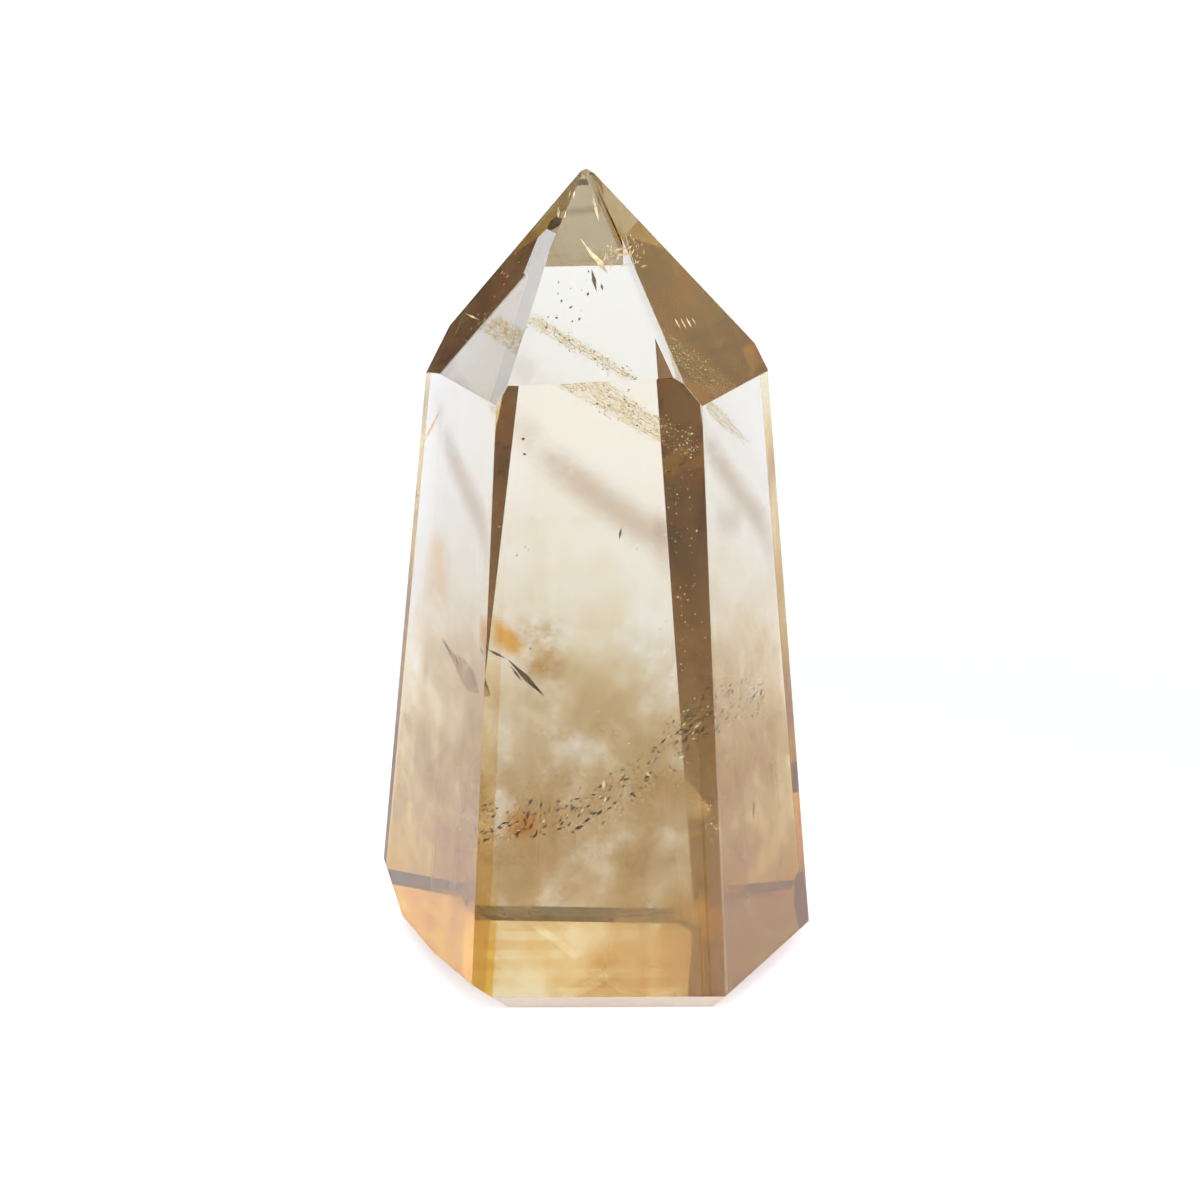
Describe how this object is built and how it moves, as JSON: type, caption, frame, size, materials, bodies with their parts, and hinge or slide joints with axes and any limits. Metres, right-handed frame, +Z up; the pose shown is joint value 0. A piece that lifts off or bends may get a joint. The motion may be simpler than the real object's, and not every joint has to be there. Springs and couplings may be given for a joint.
{
  "type": "citrine crystal point",
  "caption": "Clear honey-coloured quartz point with leaning side facets, a faceted tip and a flat bevelled base to stand on, with veils and smoky haze inside.",
  "frame": {"origin": "on the ground, under the middle of the crystal's box", "axes": "+Z up along the crystal towards its tip, -Y towards the broad front facet"},
  "size_m": [0.043, 0.0378, 0.0789],
  "materials": {
    "citrine": "polished clear quartz, warm honey to smoky brown"
  },
  "bodies": {
    "root": {"crystal": "citrine"}
  },
  "joints": []
}
